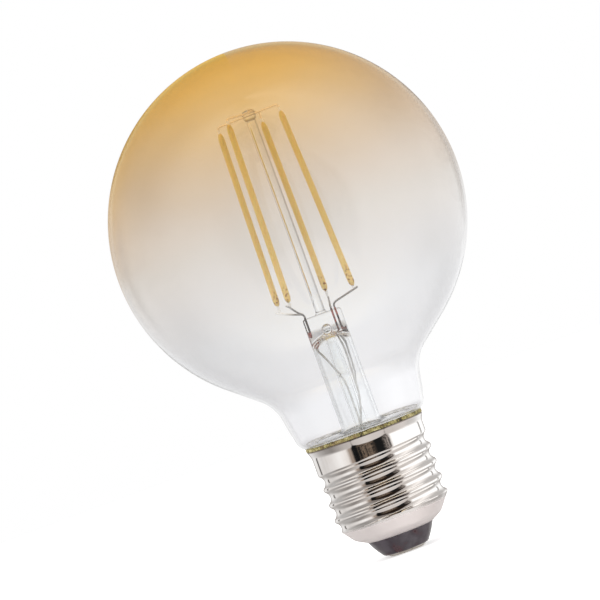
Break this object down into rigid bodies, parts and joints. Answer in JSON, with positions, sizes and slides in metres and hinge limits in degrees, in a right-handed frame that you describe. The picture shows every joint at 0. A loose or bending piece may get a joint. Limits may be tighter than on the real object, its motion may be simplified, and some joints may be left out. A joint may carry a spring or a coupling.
{
  "type": "smart light bulb",
  "caption": "Globe-shaped filament lamp with an amber glass, glass stem with upright LED filaments, and a screw cap holding a radio driver.",
  "frame": {"origin": "centre of the flat end face of the centre contact, at the lower end of the cap", "axes": "+Z along the lamp's axis from the cap to the top of the globe; +X and -X are the sides where the sealed wires leave the glass press; -Y faces the front view"},
  "size_m": [0.08, 0.08, 0.118],
  "materials": {
    "amber_glass": "clear blown glass, tinted amber at the top of the globe and fading to clear towards the neck",
    "clear_glass": "clear, fire-polished",
    "phosphor_coat": "matt yellow silicone with phosphor",
    "strip_glass": "satin",
    "chip_blue": "polished",
    "terminal_metal": "satin tin plate",
    "nickel_wire": "drawn wire, satin",
    "copper": "bright copper",
    "cap_nickel": "bright nickel plate",
    "capping_cement": "matt, cured",
    "black_glass": "gloss, opaque",
    "contact_brass": "tinned, satin",
    "sleeve_film": "matt film",
    "board_laminate": "solder mask, satin",
    "chip_package": "moulded, matt",
    "capacitor_can": "sleeved, satin",
    "resistor_body": "matt",
    "ferrite": "matt",
    "connector_plastic": "moulded",
    "live_insulation": "satin",
    "neutral_insulation": "satin"
  },
  "bodies": {
    "root": {"glass_globe": "amber_glass", "stem_flare": "clear_glass", "exhaust_tube": "clear_glass", "support_rod": "clear_glass", "rod_button": "clear_glass", "bridge_wire_outer": "nickel_wire", "bridge_wire_inner": "nickel_wire", "filament_1_substrate": "strip_glass", "filament_1_chips": "chip_blue", "filament_1_phosphor": "phosphor_coat", "filament_1_top_terminal": "terminal_metal", "filament_1_bottom_terminal": "terminal_metal", "filament_2_substrate": "strip_glass", "filament_2_chips": "chip_blue", "filament_2_phosphor": "phosphor_coat", "filament_2_top_terminal": "terminal_metal", "filament_2_bottom_terminal": "terminal_metal", "filament_3_substrate": "strip_glass", "filament_3_chips": "chip_blue", "filament_3_phosphor": "phosphor_coat", "filament_3_top_terminal": "terminal_metal", "filament_3_bottom_terminal": "terminal_metal", "filament_4_substrate": "strip_glass", "filament_4_chips": "chip_blue", "filament_4_phosphor": "phosphor_coat", "filament_4_top_terminal": "terminal_metal", "filament_4_bottom_terminal": "terminal_metal", "inner_lead_1": "nickel_wire", "inner_lead_2": "nickel_wire", "inner_lead_3": "nickel_wire", "inner_lead_4": "nickel_wire", "dumet_common": "copper", "dumet_warm": "copper", "dumet_cool": "copper", "outer_lead_common": "nickel_wire", "outer_lead_warm": "nickel_wire", "outer_lead_cool": "nickel_wire", "cap_shell": "cap_nickel", "cap_cement": "capping_cement", "cap_insulator": "black_glass", "centre_contact": "contact_brass", "insulating_sleeve": "sleeve_film", "driver_board": "board_laminate", "driver_chip": "chip_package", "bridge_rectifier": "chip_package", "bulk_capacitor": "capacitor_can", "fuse_resistor": "resistor_body", "inductor_core": "ferrite", "inductor_winding": "copper", "board_connector": "connector_plastic", "radio_board": "board_laminate", "radio_chip": "chip_package", "radio_shield": "terminal_metal", "radio_antenna": "copper", "live_wire": "live_insulation", "neutral_wire": "neutral_insulation"}
  },
  "joints": []
}
